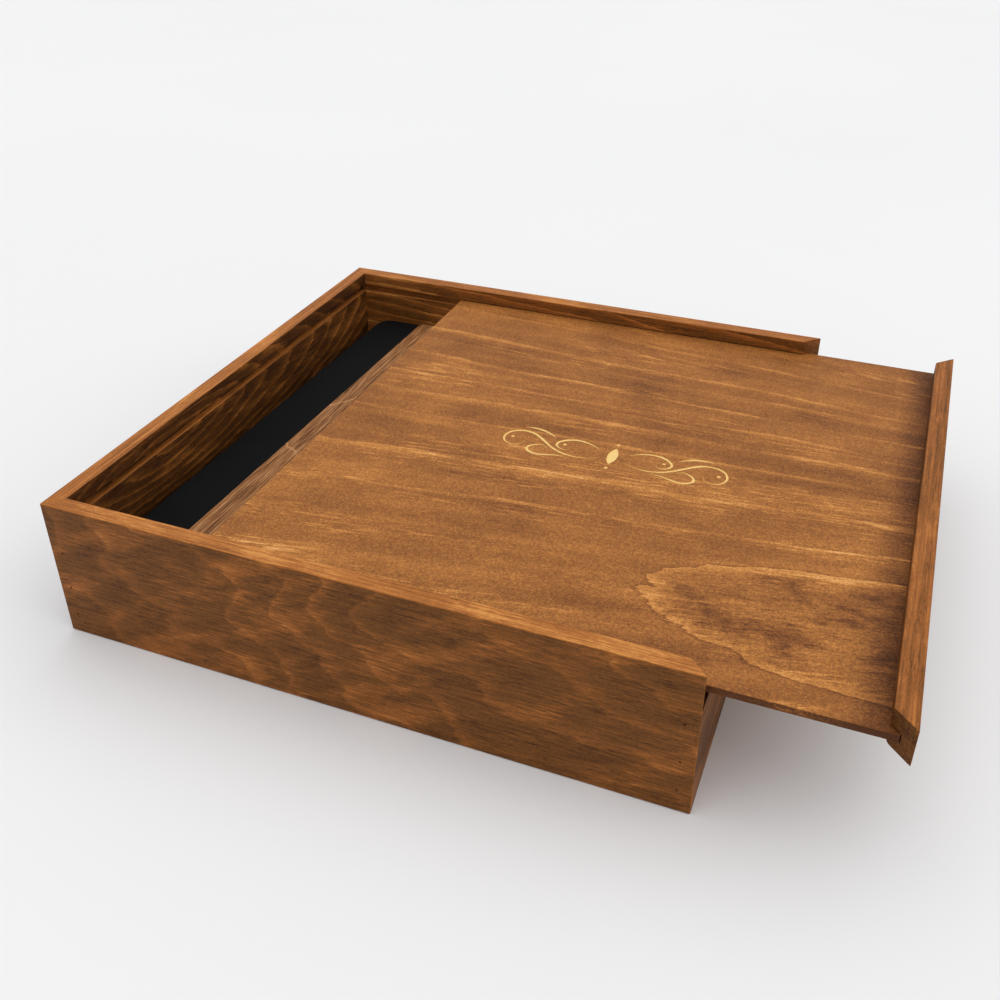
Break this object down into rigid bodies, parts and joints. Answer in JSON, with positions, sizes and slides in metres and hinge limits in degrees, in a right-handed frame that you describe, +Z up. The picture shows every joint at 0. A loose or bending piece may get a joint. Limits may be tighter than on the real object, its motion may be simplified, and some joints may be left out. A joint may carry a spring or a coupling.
{
  "type": "sliding-lid keepsake box",
  "caption": "Square stained-wood presentation box with mitred sides and a grooved sliding lid, part open over a leather-spined album that it holds.",
  "frame": {"origin": "middle of the box's underside, on the surface that it stands on; the part of the lid that stands out to +X isn't counted in that middle", "axes": "+X is the way the lid slides open, +Y runs to the back wall, +Z up"},
  "size_m": [0.434, 0.35, 0.084],
  "materials": {
    "stained_board": "matte brown wood stain on solid boards",
    "stained_plywood": "matte brown wood stain on plywood with a rotary-cut face",
    "brad_steel": "dull dark wire",
    "black_leather": "matte black fine-grained leather cloth",
    "grey_board": "dense grey binder's board",
    "cover_wood": "matte brown veneer",
    "black_endpaper": "matte black paper",
    "album_leaves": "thick satin photographic leaves"
  },
  "bodies": {
    "box": {"front_wall": "stained_board", "rear_wall": "stained_board", "left_wall": "stained_board", "right_wall": "stained_board", "base_panel": "stained_plywood", "corner_brads": "brad_steel", "base_brads": "brad_steel", "album_spine_wrap": "black_leather", "album_spine_board": "grey_board", "album_front_board": "grey_board", "album_back_board": "grey_board", "album_front_plate": "cover_wood", "album_back_plate": "cover_wood", "album_front_endpaper": "black_endpaper", "album_back_endpaper": "black_endpaper", "album_page_block": "album_leaves"},
    "lid": {"lid_panel": "stained_plywood", "lid_rail": "stained_board"}
  },
  "joints": [
    {"name": "lid_slide", "type": "slide", "parent": "box", "child": "lid", "axis": [1, 0, 0], "range_m": [-0.084, 0.24]}
  ]
}
